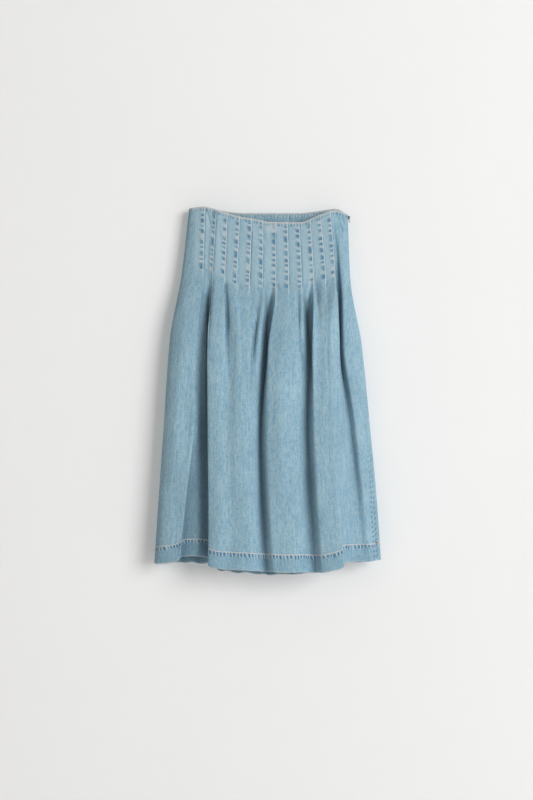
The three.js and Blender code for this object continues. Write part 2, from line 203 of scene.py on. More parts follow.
def sectionAt(side, v):
    inner = [linePoint(line, v) for line in side["lines"]]
    points = np.array([seamPoint(side["start"], v, 1), *inner, seamPoint(side["end"], v, -1)])
    along = np.concatenate(([0], np.cumsum(np.hypot(*np.diff(points, axis=0).T))))
    return along, points


def softNoise(x, y, seed, waves=6):  # a slow, even swell built of a few waves
    random = np.random.default_rng(seed)
    total = np.zeros(np.broadcast(x, y).shape)
    for _ in range(waves):
        a, b = random.normal(0, 1, 2)
        total += np.sin(a * x + b * y + random.uniform(0, 2 * math.pi))
    return total / math.sqrt(waves)


rowSpacing = {"tucks": 3.7, "body": 8.2, "hem": 3.1, "tuckZone": 185, "hemZone": 60}


def rowLevels():
    r, length = rowSpacing, clothSizes["length"]
    hemTop = 1 - clothSizes["hemDepth"] / length
    facing, tuckZone, hemZone = (h / length for h in (clothSizes["facingDepth"], r["tuckZone"], r["hemZone"]))
    stops = (0, facing, tuckZone, 1 - hemZone, hemTop, 1)
    steps = (r["tucks"], r["tucks"], r["body"], r["hem"], r["hem"])
    levels = [0.0]
    for low, high, step in zip(stops[:-1], stops[1:], steps):
        count = max(1, round((high - low) * length / step))
        levels.extend(np.linspace(low, high, count + 1)[1:])
    return np.array(levels)


# Small shapes in the cloth: puckers in the tucks and along the hem, and slow ripples lower down.
reliefSizes = {
    "tuckPucker": 0.5, "tuckStrip": 10, "tuckPitch": 15,
    "hemPucker": 0.45, "hemPitch": 8, "hemSlant": 0.35, "hemGroove": 0.35,
    "waistPucker": 0.35, "waistPitch": 8.0,
    "ripple": 1.3, "rippleAcross": 34, "rippleDown": 190, "seamFade": 22, "creaseFade": 7,
}

# The painted fold shade fades out towards the sides of the skirt, which are open to the light: distances from
# the seams, on the front and the back.
paintedShadeFade = {"front": (0, 12), "back": (15, 60)}

# Creases of the front: points (across, height), then depth at the start, deepest and at the end,
# and the half-width. The first rows are pulls from the held points, the rest start at tuck ends.
creases = [
    (((-143, -3), (-139, -14), (-134, -36), (-128, -64)), (2.6, 2.2, 0), 2.1),
    (((165, -13), (171, -33), (177, -57)), (2.8, 3.4, 0), 2.3),
    (((160, -36), (165, -48), (170, -66)), (1.6, 2.8, 0), 2.2),
    (((-114, -50), (-109, -68), (-105, -84)), (0.9, 1.1, 0), 2.2),
    (((-165, -6), (-150, -45)), (0.7, 0.6, 0), 6),
    (
        ((146, -36), (152, -72), (156, -112), (157, -155), (158.5, -198), (161, -310), (167, -380)),
        (1.4, 6.8, 1.5), 3.6,
    ),
    (((-139, -162), (-143, -200), (-147, -260)), (1.0, 3.5, 0), 6),
    (((-127, -165), (-132, -225), (-136, -290), (-138, -340)), (3.0, 5.5, 0), 3.0),
    (((-98, -174), (-95, -210), (-93, -255), (-93, -330), (-94, -400)), (3.5, 8.0, 0), 3.6),
    (((-69, -195), (-65, -240)), (1.0, 1.8, 0), 3.5),
    (((-18, -180), (-31, -285), (-38, -364), (-41, -440)), (3.5, 9.0, 0), 3.8),
    (((8, -180), (3, -215), (-3, -255)), (3.0, 6.0, 2.0), 3.6),
    (((20, -176), (23, -200)), (3.0, 1.8, 0), 2.8),
    (((64, -190), (69, -255), (73, -315), (77, -380)), (3.0, 8.0, 0), 3.8),
    (((95, -172), (90, -210), (88, -255)), (2.5, 5.5, 2.0), 3.4),
    (((107, -166), (110, -205), (110, -255)), (4.5, 6.5, 0), 3.4),
    (((126, -190), (125, -250)), (0.6, 1.4, 0), 4.5),
    (((-205, -260), (-214, -420), (-222, -600)), (0.3, 1.6, 0), 10),
    (((40, -420), (38, -560), (46, -700)), (0.3, 1.6, 0), 12),
    # the floors of the valleys are fuller than the lines beside them tell
    (((-141, -180), (-144, -260), (-145, -360), (-146, -500)), (-2.0, -3.5, -1.0), 5),
    (((-9, -200), (-8, -260), (-13, -345)), (-3.0, -6.0, -1.0), 6),
    (((86, -225), (91, -300), (89, -420), (88, -580)), (-3.0, -7.0, -2.0), 9),
    (((156, -195), (160, -300), (172, -420), (186, -520)), (-2.0, -5.0, -1.0), 7),
    (((-163, -430), (-168, -520), (-177, -640)), (-1.0, -5.0, 0), 9),
    (((-90, -520), (-86, -640), (-82, -760)), (0.3, 1.6, 0), 12),
]


def creaseDepth(x, z, points, depths, width):
    # how deep one crease is at each point: shares of its length decide its depth
    points = np.array(points, float)
    lengths = np.hypot(*np.diff(points, axis=0).T)
    reached = np.concatenate(([0], np.cumsum(lengths)))
    nearest = np.full(x.shape, 1e9)
    share = np.zeros(x.shape)
    for i, length in enumerate(lengths):
        dx, dz = points[i + 1] - points[i]
        t = np.clip(((x - points[i, 0]) * dx + (z - points[i, 1]) * dz) / length**2, 0, 1)
        away = np.hypot(x - points[i, 0] - t * dx, z - points[i, 1] - t * dz)
        share = np.where(away < nearest, (reached[i] + t * length) / reached[-1], share)
        nearest = np.minimum(nearest, away)
    depth = np.interp(share, (0, 0.35, 1), depths)
    return depth * np.exp(-((nearest / width) ** 2))


class Cloth:  # one side of the skirt as a fine grid, with what its material needs to know
    def __init__(self, side):
        self.side = side
        self.levels = rowLevels()
        self.layColumns()
        self.layPoints()
        self.measure()
        self.raiseRelief()

    def layColumns(self):
        s = clothSizes
        wide, hem = sectionAt(self.side, 0.34)[0], sectionAt(self.side, 1)[0]
        widths = np.maximum(np.diff(wide), np.diff(hem))
        names = ["seam", *(line[0] for line in self.side["lines"]), "seam"]
        self.stops, self.tuckColumns = [(0, 0.0)], []
        for span, width in enumerate(widths):
            count = int(np.clip(math.ceil(width / s["columnWidth"]), s["fewest"], s["most"]))
            self.stops.extend((span, k / count) for k in range(1, count + 1))
            if names[span + 1].startswith("tuck"):
                self.tuckColumns.append(len(self.stops) - 1)

    def layPoints(self):
        spans = np.array([span for span, _ in self.stops])
        shares = np.array([t for _, t in self.stops])
        rows = []
        for v in self.levels:
            along, points = sectionAt(self.side, v)
            where = along[spans] + shares * (along[spans + 1] - along[spans])
            x, out = (curveAt(along, points[:, k], where) for k in (0, 1))
            rows.append((x, out, where, along))
        lines = [self.side["start"]["line"], *self.side["lines"], self.side["end"]["line"]]
        heights = [line[3] for line in lines]
        x = np.array([row[0] for row in rows])
        out = np.array([row[1] for row in rows])
        top = curveAt(*self.side["waist"], x[0])
        bottom = curveAt(rows[-1][3], heights, rows[-1][2])
        z = top + (bottom - top) * self.levels[:, None]
        self.points = np.stack((x, -out, z), axis=-1)

    def findNormals(self):
        steps = np.diff(self.points, axis=1)
        steps /= np.linalg.norm(steps, axis=-1, keepdims=True)
        across = np.concatenate((steps[:, :1], steps[:, 1:] + steps[:, :-1], steps[:, -1:]), axis=1)
        normals = np.cross(np.gradient(self.points, axis=0), across)
        for column, seam in ((0, self.side["start"]), (-1, self.side["end"])):
            for row, v in enumerate(self.levels):
                along = seamFrame(seam, v)[1]
                normals[row, column] = (-along[1], -along[0], 0)
        return normals / np.linalg.norm(normals, axis=-1, keepdims=True)

    def measure(self):  # distances along the cloth: across each row, and down each column
        steps = np.linalg.norm(np.diff(self.points, axis=1), axis=-1)
        self.across = np.concatenate((np.zeros((len(steps), 1)), np.cumsum(steps, axis=1)), axis=1)
        drops = np.linalg.norm(np.diff(self.points, axis=0), axis=-1)
        self.down = np.concatenate((np.zeros((1, drops.shape[1])), np.cumsum(drops, axis=0)))
        self.up = self.down[-1] - self.down
        self.fromSeam = np.minimum(self.across, self.across[:, -1:] - self.across)
        self.edges = [0, *self.tuckColumns, self.points.shape[1] - 1]

    def raiseRelief(self):
        r = reliefSizes
        across, down, up = self.across, self.down, self.up
        lift = np.zeros(across.shape)
        for tuck, (column, end) in enumerate(zip(self.tuckColumns, self.side["tuckEnds"])):
            start = self.edges[tuck]
            left = across[:, column, None] - across[:, start : column + 1]
            fall = down[:, start : column + 1]
            inZone = smooth(end + 3, end - 6, fall) * smooth(2, 8, fall)
            strip = smooth(0, 2.5, left) * smooth(r["tuckStrip"] + 2, r["tuckStrip"] - 1, left)
            turns = 2 * math.pi * fall / r["tuckPitch"] + tuck * 1.9 + 1.4 * softNoise(fall / 30, tuck, 5)
            lift[:, start : column + 1] += r["tuckPucker"] * inZone * strip * np.sin(turns)
        band = smooth(clothSizes["hemDepth"] - 1, clothSizes["hemDepth"] - 5, up) * smooth(14, 24, up)
        slanted = across + r["hemSlant"] * up + 2.2 * softNoise(across / 18, 0, 8)
        lift += r["hemPucker"] * band * np.sin(2 * math.pi * slanted / r["hemPitch"])
        lift -= r["hemGroove"] * np.exp(-(((up - clothSizes["hemDepth"]) / 1.8) ** 2))
        rim = smooth(14, 3, down)
        turns = 2 * math.pi * (across + 2 * softNoise(across / 15, 0, 9)) / r["waistPitch"]
        lift += r["waistPucker"] * rim * np.sin(turns)
        swell = softNoise(across / r["rippleAcross"], down / r["rippleDown"], self.side["seed"])
        swell = swell + 0.4 * softNoise(across / 17, down / 90, self.side["seed"] + 1)
        lift += r["ripple"] * swell * smooth(170, 420, down) * smooth(0, 50, up + 15)
        lift += 0.25 * r["ripple"] * swell * smooth(5, 40, down) * smooth(190, 150, down)
        lift *= smooth(0, r["seamFade"], self.fromSeam)
        if self.side is sides["front"]:
            for points, depths, width in creases:
                depth = creaseDepth(self.points[..., 0], self.points[..., 2], points, depths, width)
                lift -= depth * smooth(1, r["creaseFade"], self.fromSeam)
        self.points = self.points + self.findNormals() * lift[..., None]
        self.normals = self.findNormals()
        self.findPaintedFoldShade()

    def findPaintedFoldShade(self):  # how much of the open space before each place the folds beside it hide: the amount of shade painted into the cloth's colour
        front = self.side is sides["front"]
        outward, fade = (-1, paintedShadeFade["front"]) if front else (1, paintedShadeFade["back"])
        self.paintedFoldShade = np.zeros(self.across.shape)
        for row, points in enumerate(self.points):
            x, out = points[:, 0], points[:, 1] * outward
            apart = np.maximum(np.abs(x[None] - x[:, None]), 1.0)
            rise = np.clip((out[None] - out[:, None]) / apart, 0, None)
            hidden = rise / np.sqrt(1 + rise * rise)
            toRight = x[None] > x[:, None]
            right = np.where(toRight, hidden, 0).max(axis=1)
            left = np.where(toRight, 0, hidden).max(axis=1)
            self.paintedFoldShade[row] = (right + left) / 2 * smooth(*fade, self.fromSeam[row])

    def rolled(self, rows, turnTop=False, turnBottom=False):
        # rows of the grid with the cloth's own edges turned in by half a circle
        points, normals = self.points[rows], self.normals[rows]
        down = np.gradient(points, axis=0)
        down /= np.linalg.norm(down, axis=-1, keepdims=True)
        radius = nextLayer / 2
        parts = [(points, normals, rows)]
        for turn, edge, sign in ((turnTop, 0, -1), (turnBottom, -1, 1)):
            if not turn:
                continue
            away, spots, facings = sign * down[edge], [], []
            for angle in rollAngles[::sign]:
                inward = 1 - math.cos(angle)
                spots.append(points[edge] - normals[edge] * radius * inward + away * radius * math.sin(angle))
                facings.append(normals[edge] * math.cos(angle) + away * math.sin(angle))
            extra = (np.array(spots), np.array(facings), np.full(len(spots), rows[edge]))
            parts = [extra] + parts if sign < 0 else parts + [extra]
        return tuple(np.concatenate([part[k] for part in parts]) for k in range(3))

    def above(self, first, second, t, lift):  # a point over the outer face, between two of the grid
        point = self.points[first] * (1 - t) + self.points[second] * t
        normal = self.normals[first] * (1 - t) + self.normals[second] * t
        return point + normal * (clothSizes["thickness"] / 2 + lift)

    def spot(self, row, across, lift):  # the same, by row and distance across
        column = np.interp(across, self.across[row], np.arange(self.across.shape[1]))
        i = min(int(column), self.across.shape[1] - 2)
        return self.above((row, i), (row, i + 1), column - i, lift)


def unfolded(points, moved, least=0.12, sweeps=30):
    # draws together the places where a wall beside the grid would fold back over itself
    steps = np.diff(points, axis=1)
    square = (steps * steps).sum(-1)
    for _ in range(sweeps):
        for i in range(steps.shape[1]):
            span = ((moved[:, i + 1] - moved[:, i]) * steps[:, i]).sum(-1)
            folded = (span < least * square[:, i])[:, None]
            middle, half = (moved[:, i] + moved[:, i + 1]) / 2, steps[:, i] * least / 2
            moved[:, i] = np.where(folded, middle - half, moved[:, i])
            moved[:, i + 1] = np.where(folded, middle + half, moved[:, i + 1])
    return moved


def wallShell(points, normals, outer, inner):
    # a closed wall between two distances from a grid, and the grid column each face belongs to
    rows, columns = points.shape[:2]
    shells = [unfolded(points, points + normals * side).reshape(-1, 3) * mm for side in (outer, inner)]
    layer = rows * columns
    at = np.arange(layer).reshape(rows, columns)
    a, b, c, d = at[:-1, :-1], at[1:, :-1], at[1:, 1:], at[:-1, 1:]
    faces = [np.stack((a, b, c, d), -1).reshape(-1, 4), np.stack((a, d, c, b), -1).reshape(-1, 4) + layer]
    owners = [np.tile(np.arange(columns - 1), rows - 1)] * 2
    for edge, column in ((at[:, 0], 0), (at[::-1, -1], columns - 2)):
        faces.append(np.stack((edge[:-1], edge[:-1] + layer, edge[1:] + layer, edge[1:]), -1))
        owners.append(np.full(rows - 1, column))
    for edge, order in ((at[0], (0, 1, 2, 3)), (at[-1], (3, 2, 1, 0))):
        corners = (edge[:-1], edge[1:], edge[1:] + layer, edge[:-1] + layer)
        faces.append(np.stack([corners[k] for k in order], -1))
        owners.append(np.arange(columns - 1))
    return np.concatenate(shells), np.concatenate(faces), np.concatenate(owners)


def linked(name, data):
    piece = bpy.data.objects.new(name, data)
    bpy.context.scene.collection.objects.link(piece)
    return piece


def linkMesh(name, vertices, faces):
    mesh = bpy.data.meshes.new(name)
    mesh.from_pydata(vertices.tolist(), [], faces.tolist())
    mesh.polygons.foreach_set("use_smooth", np.ones(len(mesh.polygons), bool))
    return linked(name, mesh)


def markCloth(mesh, cloth, faces, owners, rowIndex, columns, turned):
    # UV maps in metres: along the cloth, to its edges, to the tuck ends and to the seams
    ends = [clothSizes["length"] * 2, *cloth.side["tuckEnds"], clothSizes["length"] * 2]
    segmentOf = np.searchsorted(cloth.tuckColumns, columns[:-1], side="right")
    layer = len(rowIndex) * len(columns)
    segment = segmentOf[owners][:, None]
    start, stop = (np.array(cloth.edges)[segment + k] for k in (0, 1))
    endLeft, endRight = (np.array(ends)[segment + k] for k in (0, 1))
    corners = faces % layer
    row, column = rowIndex[corners // len(columns)], columns[corners % len(columns)]
    across, down = cloth.across[row, column], cloth.down[row, column]
    maps = {
        "cloth": ((across - cloth.across[row, start]) * mm + segment * 0.5, down * mm),
        "edges": ((cloth.across[row, stop] - across) * mm, cloth.up[row, column] * mm),
        "ends": ((endLeft - down) * mm, (endRight - down) * mm),
        "seams": (across * mm, (cloth.across[row, -1] - across) * mm),
    }
    for name, (u, v) in maps.items():
        uv = mesh.uv_layers.new(name=name)
        uv.data.foreach_set("uv", np.stack((u, v), -1).astype(np.float32).ravel())
    wrong = mesh.attributes.new("wrongSide", "FLOAT", "POINT")
    layers = (1.0, 0.0) if turned else (0.0, 1.0)
    wrong.data.foreach_set("value", np.repeat(layers, layer).astype(np.float32))
    # the painted fold shade, kept per point for the material
    kept = mesh.attributes.new("paintedFoldShade", "FLOAT", "POINT")
    paintedFoldShade = cloth.paintedFoldShade[rowIndex[:, None], columns[None]].ravel()
    kept.data.foreach_set("value", np.tile(paintedFoldShade, 2).astype(np.float32))


cloths = {name: Cloth(side) for name, side in sides.items()}
print("cloth laid out:", {name: cloth.points.shape[:2] for name, cloth in cloths.items()})


def addNode(tree, kind, inputs, output, settings):  # a new node's output socket, where it has one
    node = tree.nodes.new(kind)
    for name, setting in settings.items():
        setattr(node, name, setting)
    for name, given in inputs.items():
        if isinstance(given, bpy.types.NodeSocket):
            tree.links.new(given, node.inputs[name])
        else:
            node.inputs[name].default_value = given
    return node.outputs[output] if node.outputs else None


class Value:  # a socket that can be used in sums
    def __init__(self, shader, socket):
        self.shader, self.socket = shader, socket

    def sum(self, operation, first, second=None):
        inputs = {i: x for i, x in enumerate((first, second)) if x is not None}
        return self.shader.node("ShaderNodeMath", inputs, operation=operation)

    def __add__(self, other): return self.sum("ADD", self, other)
    def __radd__(self, other): return self.sum("ADD", other, self)
    def __sub__(self, other): return self.sum("SUBTRACT", self, other)
    def __rsub__(self, other): return self.sum("SUBTRACT", other, self)
    def __mul__(self, other): return self.sum("MULTIPLY", self, other)
    def __rmul__(self, other): return self.sum("MULTIPLY", other, self)
    def __truediv__(self, other): return self.sum("DIVIDE", self, other)
    def floor(self): return self.sum("FLOOR", self)
    def root(self): return self.sum("SQRT", self)
    def wave(self, turns): return self.sum("SINE", self * (2 * math.pi * turns))
    def least(self, other): return self.sum("MINIMUM", self, other)
    def smooth(self, low, high):
        inputs = {"Value": self, "From Min": low, "From Max": high}
        return self.shader.node("ShaderNodeMapRange", inputs, interpolation_type="SMOOTHSTEP")
    def band(self, low, high, soft):  # 1 between two values, falling to 0 outside them
        return self.smooth(low - soft, low) * (1 - self.smooth(high, high + soft))


class Shader:
    def __init__(self, name):
        self.material = bpy.data.materials.new(name)
        self.material.use_nodes = True
        self.tree = self.material.node_tree
        self.tree.nodes.clear()

    def node(self, kind, inputs=None, output=0, **settings):
        given = {name: x.socket if isinstance(x, Value) else x for name, x in (inputs or {}).items()}
        return Value(self, addNode(self.tree, kind, given, output, settings))

    def split(self, vector):
        first = self.node("ShaderNodeSeparateXYZ", {0: vector})
        return [Value(self, socket) for socket in first.socket.node.outputs]

    def uv(self, name):
        return self.split(self.node("ShaderNodeUVMap", uv_map=name))[:2]

    def attribute(self, name):
        return self.node("ShaderNodeAttribute", {}, 2, attribute_name=name)

    def place(self):  # where the surface is on the skirt, in metres
        return self.split(self.node("ShaderNodeTexCoord", output=3))

    def point(self, x, y, z):
        return self.node("ShaderNodeCombineXYZ", {0: x, 1: y, 2: z})

    def noise(self, x, y, z=0.0, detail=2.0, roughness=0.5):
        inputs = {"Vector": self.point(x, y, z), "Scale": 1.0, "Detail": detail, "Roughness": roughness}
        return self.node("ShaderNodeTexNoise", inputs)

    def random(self, x, y, z):
        return self.node("ShaderNodeTexWhiteNoise", {"Vector": self.point(x, y, z)})

    def grain(self, u, v, size, layer, detail=2.0, roughness=0.5):  # noise with a size each way
        return self.noise(u / size[0], v / size[1], layer, detail, roughness)

    def cloud(self, size, detail=2.0, roughness=0.5):  # noise by place, of one size every way
        x, y, z = (at / size for at in self.place())
        return self.noise(x, y, z, detail, roughness)

    def mix(self, factor, first, second):
        inputs = {"Factor": factor, 6: first, 7: second}
        return self.node("ShaderNodeMix", inputs, 2, data_type="RGBA")

    def finish(self, sockets, bump=None, strength=1.0, distance=0.001):
        if bump is not None:
            inputs = {"Height": bump, "Strength": strength, "Distance": distance}
            sockets["Normal"] = self.node("ShaderNodeBump", inputs)
        surface = self.node("ShaderNodeBsdfPrincipled", sockets)
        self.node("ShaderNodeOutputMaterial", {"Surface": surface})
        return self.material


def colour(red, green, blue):  # a colour given as on screen, for a shader
    def light(c):
        c = c / 255
        return c / 12.92 if c <= 0.04045 else ((c + 0.055) / 1.055) ** 2.4
    return (light(red), light(green), light(blue), 1.0)


denimFinish = {
    "faded": colour(158, 187, 199), "washed": colour(112, 153, 178), "grey": colour(144, 167, 173),
    # the last colour on the next line is painted shade for the deep folds
    "indigo": colour(84, 128, 156), "deep": colour(68, 114, 146), "paintedShadeColour": colour(70, 98, 114),
    "worn": colour(190, 199, 202), "cream": colour(206, 199, 194),
    "wrong": colour(158, 176, 184), "wrongYarn": colour(118, 144, 160),
    # how wide and how long each kind of mark is, in metres
    "slub": (0.0014, 0.015), "streak": (0.0045, 0.06), "speckle": (0.0022, 0.0036), "mottle": (0.008, 0.011),
    "fade": (0.05, 0.11), "ragged": (0.0026, 0.0026), "torn": (0.005, 0.003), "blotch": (0.004, 0.004),
    "hemCloud": (0.02, 0.02), "slubShare": 2.1, "streakShare": 1.0, "speckleShare": 2.2, "mottleShare": 0.8,
    "twillPitch": 0.0011,
    "tuckPitch": 0.015, "hemPitch": 0.0078, "hemSlant": 0.35, "waistPitch": 0.0075, "seamPitch": 0.012,
}

# A worn and a dark spot at the middle of the front waist: centre, half sizes in metres, and strength.
waistSpots = {
    "worn": {"centre": (0.006, -0.047), "reach": (0.019, 0.013), "share": 0.7},
    "indigo": {"centre": (0.012, -0.066), "reach": (0.0075, 0.010), "share": 0.75},
}


def denimMaterial(name, tucked=True):
    f, tucks = denimFinish, len(frontTuckEnds)
    s = Shader(name)
    u, v = s.uv("cloth")
    toRight, up = s.uv("edges")
    endLeft, endRight = s.uv("ends")
    fromSeam, toSeam = s.uv("seams")
    segment = (u / 0.5).floor()
    fromLeft = u - segment * 0.5
    ragged = s.grain(u, v, f["ragged"], 5.0) - 0.5

    # yarn: slubs down the warp, a speckle of weft, and the twill's diagonal
    slub = s.grain(u, v, f["slub"], segment, 3.0, 0.6)
    streak = s.grain(u, v, f["streak"], segment + 7)
    speckle = s.grain(u, v, f["speckle"], segment, 3.0, 0.75)
    mottle = s.grain(u, v, f["mottle"], segment + 3, 3.0, 0.65)
    twill = (u + v).wave(1 / f["twillPitch"])
    yarn = (slub - 0.5) * f["slubShare"] + (streak - 0.5) * f["streakShare"]
    yarn = yarn + (speckle - 0.5) * f["speckleShare"] + (mottle - 0.5) * f["mottleShare"]
    fade = s.grain(fromSeam, v, f["fade"], 2.0)
    tone = (yarn * 1.1 + (fade - 0.5) * 0.8 + 0.5).smooth(-0.05, 1.05)
    base = s.mix(tone, f["washed"], f["faded"])
    base = s.mix((mottle * 1.2 - fade + 0.3).smooth(0.2, 0.8) * 0.45, base, f["grey"])
    # painted shade in the folds: the cloth darkens towards a shade colour where the folds beside it hide the
    # open space
    base = s.mix(s.attribute("paintedFoldShade").smooth(0.42, 0.84) * 0.6, base, f["paintedShadeColour"])
    height = twill * 0.12 + speckle * 0.35 + slub * 0.4

    if tucked:
        # tucks: dark patches between raised, worn bars beside each stitched fold
        lastPart = segment.smooth(tucks - 0.8, tucks - 0.2)
        inTuck = endRight.smooth(-0.002, 0.003) * v.smooth(0.006, 0.011) * (1 - lastPart)
        wander = s.noise(v / 0.035, segment * 3.7, detail=1.0)
        torn = s.grain(u, v, f["torn"], 2.5, 3.0, 0.7) - 0.5
        step = v / f["tuckPitch"] + wander * 2.6 + segment * 0.37 + toRight * 18
        cell = step.floor()
        within = step - cell + torn * 0.7
        chance = s.random(cell, segment, 1.0)
        second = s.random(cell, segment, 4.0)
        patch = within.smooth(0.0, 0.28) * (1 - within.smooth(second * 0.3 + 0.4, second * 0.3 + 0.72))
        reach = toRight + torn * 0.009
        strip = toRight.smooth(0.0008, 0.0022) * (1 - reach.smooth(0.0045, second * 0.003 + 0.0115))
        blotch = s.grain(u, v, f["blotch"], 9.0).smooth(0.25, 0.6)
        dark = patch * strip * inTuck * (chance * 0.5 + 0.5) * (blotch * 0.5 + 0.6)
        washedOut = endRight.smooth(-0.004, 0.02) * (1 - toRight.smooth(0.018, 0.034)) * (1 - lastPart)
        base = s.mix(washedOut * (torn * 0.6 + 0.4), base, f["faded"])
        base = s.mix((dark * 1.2).least(1.0), base, f["indigo"])
        bars = (1 - patch) * strip * inTuck * (blotch * 0.4 + 0.34)
        base = s.mix(bars, base, f["worn"])
        # painted shadow under each stitched fold edge, on the fold's foot to its right, together with the
        # unfaded indigo kept in the fold there
        footShadowAndIndigo = s.noise(v / 0.013, segment, 8.0).smooth(0.35, 0.6)
        foot = (1 - (fromLeft + ragged * 0.002).smooth(0.0030, 0.0046)) * endLeft.smooth(-0.001, 0.004)
        foot = foot * segment.smooth(0.2, 0.8)
        base = s.mix(foot * (footShadowAndIndigo * 0.5 + 0.2), base, f["indigo"])
        # paler halfway between tucks, where the layers lie thick
        ridge = (toRight + torn * 0.012).band(0.012, 0.02, 0.004) * inTuck * (blotch * 0.12 + 0.06)
        base = s.mix(ridge, base, f["worn"])

    # hem: short dark dashes under the stitches, pale bars between them, and a worn lower edge
    hemCell = fromSeam / f["hemPitch"] + up * (f["hemSlant"] / f["hemPitch"])
    hemCell = hemCell + (s.noise(fromSeam / 0.02, 3.0, detail=1.0) - 0.5) * 1.6
    hemIndex = hemCell.floor()
    hemChance = s.random(hemIndex, 2.0, 7.0)
    inDash = hemCell - hemIndex + ragged * 0.5
    dash = inDash.band(0.26, 0.66, 0.17)
    dashDepth = hemChance * 0.006 + 0.0235
    under = (up + ragged * 0.003).smooth(dashDepth, dashDepth + 0.004) * (1 - up.smooth(0.0362, 0.0372))
    hemTone = (1 - up.smooth(0.0355, 0.037)) * 0.3
    base = s.mix(hemTone * s.grain(fromSeam, up, f["hemCloud"], 6.0), base, f["indigo"])
    base = s.mix(dash * under * hemChance.smooth(0.0, 0.4) * 0.95, base, f["deep"])
    base = s.mix((1 - dash) * under * 0.5, base, f["worn"])
    hemFrayed = s.noise(fromSeam / 0.012, 8.0).smooth(0.3, 0.65)
    hemEdge = (1 - (up + ragged * 0.0015).smooth(0.0006, 0.0016)) * (hemFrayed * 0.4 + 0.15)
    hemTop = up.band(0.0374, 0.0386, 0.0008) * (hemFrayed * 0.4 + 0.45)

    # waist: short dark dashes a little under the edge
    waistCell = fromSeam / f["waistPitch"] + (s.noise(fromSeam / 0.012, 5.0, detail=1.0) - 0.5) * 2.0
    waistIndex = waistCell.floor()
    waistDash = (waistCell - waistIndex + ragged * 0.7).band(0.25, 0.58, 0.22)
    waistChance = s.random(waistIndex, 9.0, 1.0) * 0.8 + 0.2
    below = (v + ragged * 0.005).band(0.0045, 0.0080, 0.0018)
    base = s.mix(waistDash * below * waistChance * (1.0 if tucked else 0.55), base, f["indigo"])
    base = s.mix((1 - waistDash) * below * (0.3 if tucked else 0.6), base, f["worn"])
    waistEdge = (1 - (v + ragged * 0.003).smooth(0.0010, 0.0032)) * 0.7

    # side seams, puckered in the same way near the hem
    nearSeam = fromSeam.least(toSeam) + ragged * 0.003
    ladder = ((v + fromSeam * 0.4).wave(1 / f["seamPitch"]) + ragged * 2.2).smooth(-0.1, 0.7)
    low = 1 - up.smooth(0.09, 0.33)
    base = s.mix(ladder * nearSeam.band(0.002, 0.0085, 0.0015) * low * 0.8, base, f["indigo"])
    seamLine = (1 - nearSeam.smooth(0.0006, 0.0016)) * (low * 0.4 + 0.1)

    # worn lines on the fold edges, running a little below the stitching
    worn = hemEdge + hemTop + waistEdge + seamLine
    if tucked:
        broken = s.noise(v / 0.009, segment, 4.0).smooth(0.25, 0.6)
        run = endRight.smooth(-0.03, -0.006) * (1 - lastPart)
        foldEdge = (1 - (toRight + ragged * 0.0008).smooth(0.0007, 0.0014)) * run
        crease = (endRight + ragged * 0.004).band(-0.0010, 0.0004, 0.0014)
        crease = crease * (1 - (toRight + ragged * 0.02).smooth(0.004, 0.016)) * broken
        worn = worn + foldEdge * (broken * 0.4 + 0.5) + crease * 0.35
    base = s.mix((worn + ragged * 0.2 * worn).smooth(0.0, 1.1), base, f["cream"])

    if tucked:
        x, y, z = s.place()
        onFront = 1 - y.smooth(-0.02, -0.012)
        patchy = (ragged * 3.0 + 0.8).smooth(0.1, 0.9)
        for paint, spot in waistSpots.items():
            dx, dz = ((at - c) / r for at, c, r in zip((x, z), spot["centre"], spot["reach"]))
            near = 1 - ((dx * dx + dz * dz).root() + ragged * 2.2).smooth(0.3, 1.2)
            base = s.mix(near * patchy * onFront * spot["share"], base, f[paint])

    wrongTone = (yarn * 0.9 + 0.5).smooth(0.0, 1.0)
    wrongBase = s.mix(wrongTone, f["wrongYarn"], f["wrong"])
    base = s.mix(s.attribute("wrongSide").smooth(0.3, 0.7), base, wrongBase)
    sockets = {
        "Base Color": base, "Roughness": 0.92 - tone * 0.08, "Sheen Weight": 0.12, "Sheen Roughness": 0.5,
        "Sheen Tint": colour(205, 214, 220), "Specular IOR Level": 0.2,
    }
    return s.finish(sockets, height, 0.5, 0.0006)


denim = denimMaterial("washedDenim")
turnedDenim = denimMaterial("turnedDenim", tucked=False)
print("denim mixed")


clothPieces = {
    "frontCloth": {"node": "front_panel", "side": "front"},
    "backCloth": {"node": "back_panel", "side": "back"},
    "frontHem": {"node": "front_hem", "side": "front"},
    "backHem": {"node": "back_hem", "side": "back"},
    "backFacing": {"node": "back_facing", "side": "back"},
}


def area(points):  # what a grid of points measures, in square metres
    p = points * mm
    a, b = p[1:, 1:] - p[:-1, :-1], p[:-1, 1:] - p[1:, :-1]
    return float(np.linalg.norm(np.cross(a, b), axis=-1).sum() / 2)


def sewOn(piece, node, material, flatArea):
    # a finished sheet: its material and the node it stands for; the size it was cut to is not used
    piece.data.materials.append(material)
    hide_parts(node)
    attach(piece, "skirt")


def layCloth(name, rows, depth, material, slot, columns=None, turned=False, **turns):
    entry = clothPieces[name]
    cloth = cloths[entry["side"]]
    columns = np.arange(cloth.points.shape[1]) if columns is None else columns
    points, normals, rowIndex = cloth.rolled(rows, **turns)
    half = clothSizes["thickness"] / 2
    vertices, faces, owners = wallShell(points[:, columns], normals[:, columns], half - depth, -half - depth)
    piece = linkMesh(name, vertices, faces)
    markCloth(piece.data, cloth, faces, owners, rowIndex, columns, turned)
    sewOn(piece, entry["node"], material, area(cloth.points[rows][:, columns]))


